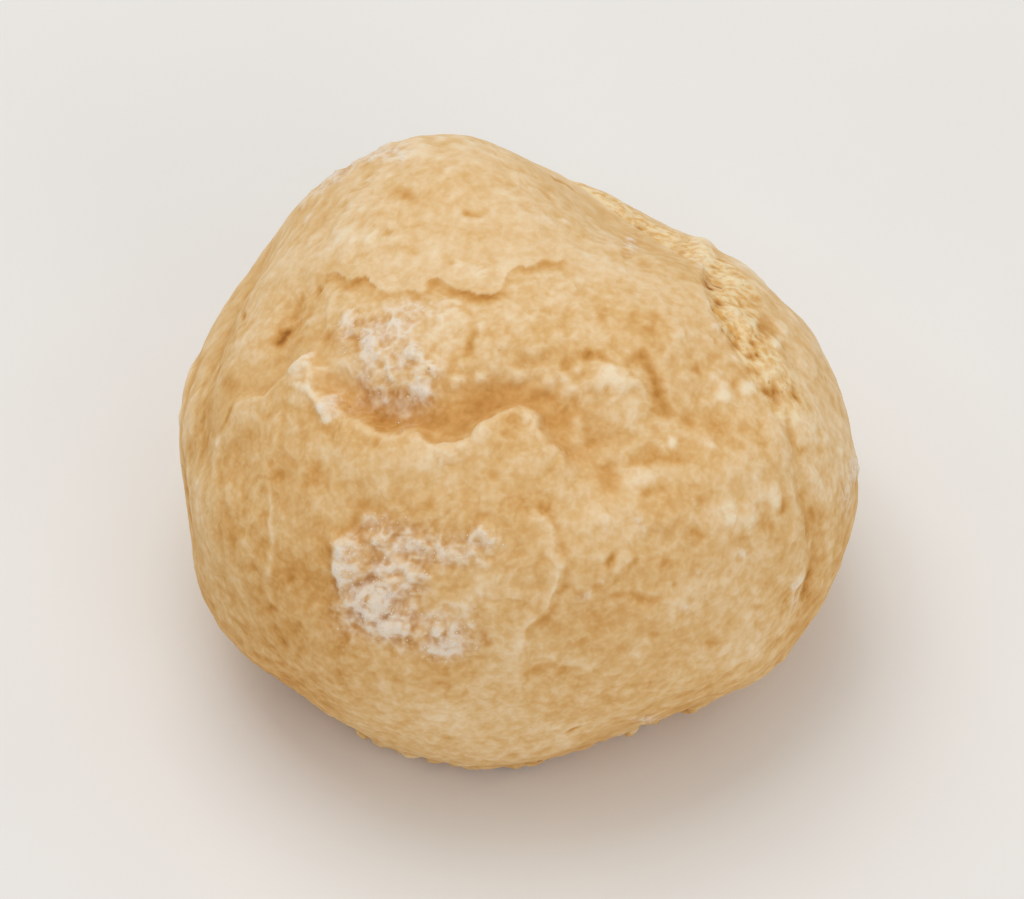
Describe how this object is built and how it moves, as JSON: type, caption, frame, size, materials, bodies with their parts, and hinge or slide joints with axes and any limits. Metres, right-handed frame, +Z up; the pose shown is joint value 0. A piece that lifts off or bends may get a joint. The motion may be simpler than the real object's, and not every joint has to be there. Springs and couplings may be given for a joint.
{
  "type": "cream puff",
  "caption": "Round baked choux bun with a torn and crackled crust, a flat foot to rest on, and a light dusting of sugar.",
  "frame": {"origin": "on the table, under the middle of the bun", "axes": "+Z up from the table; -Y towards the side that the torn crown leans to; +X to the right, seen from that side"},
  "size_m": [0.065, 0.0606, 0.0445],
  "materials": {
    "crust": "matte"
  },
  "bodies": {
    "root": {"choux_bun": "crust"}
  },
  "joints": []
}
